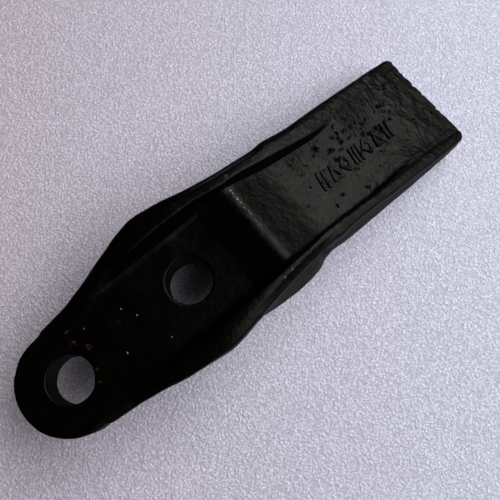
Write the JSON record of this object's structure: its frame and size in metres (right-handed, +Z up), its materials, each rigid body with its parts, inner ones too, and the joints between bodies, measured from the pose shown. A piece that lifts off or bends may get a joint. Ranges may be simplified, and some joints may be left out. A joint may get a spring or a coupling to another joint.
{
  "type": "bucket tooth",
  "caption": "Bolt-on digging tooth for a bucket lip: a cast steel strap with bolt holes, raised side rails, a stepped heel and a chisel tip.",
  "frame": {"origin": "middle of the bounding box's footprint, at the underside of the heel and nose", "axes": "+X towards the cutting tip, +Y across the tooth, +Z up along the bolt holes"},
  "size_m": [0.2569, 0.0772, 0.0528],
  "materials": {
    "black_paint": "semi-gloss black paint over a sand-cast skin"
  },
  "bodies": {
    "root": {"tooth_casting": "black_paint"}
  },
  "joints": []
}
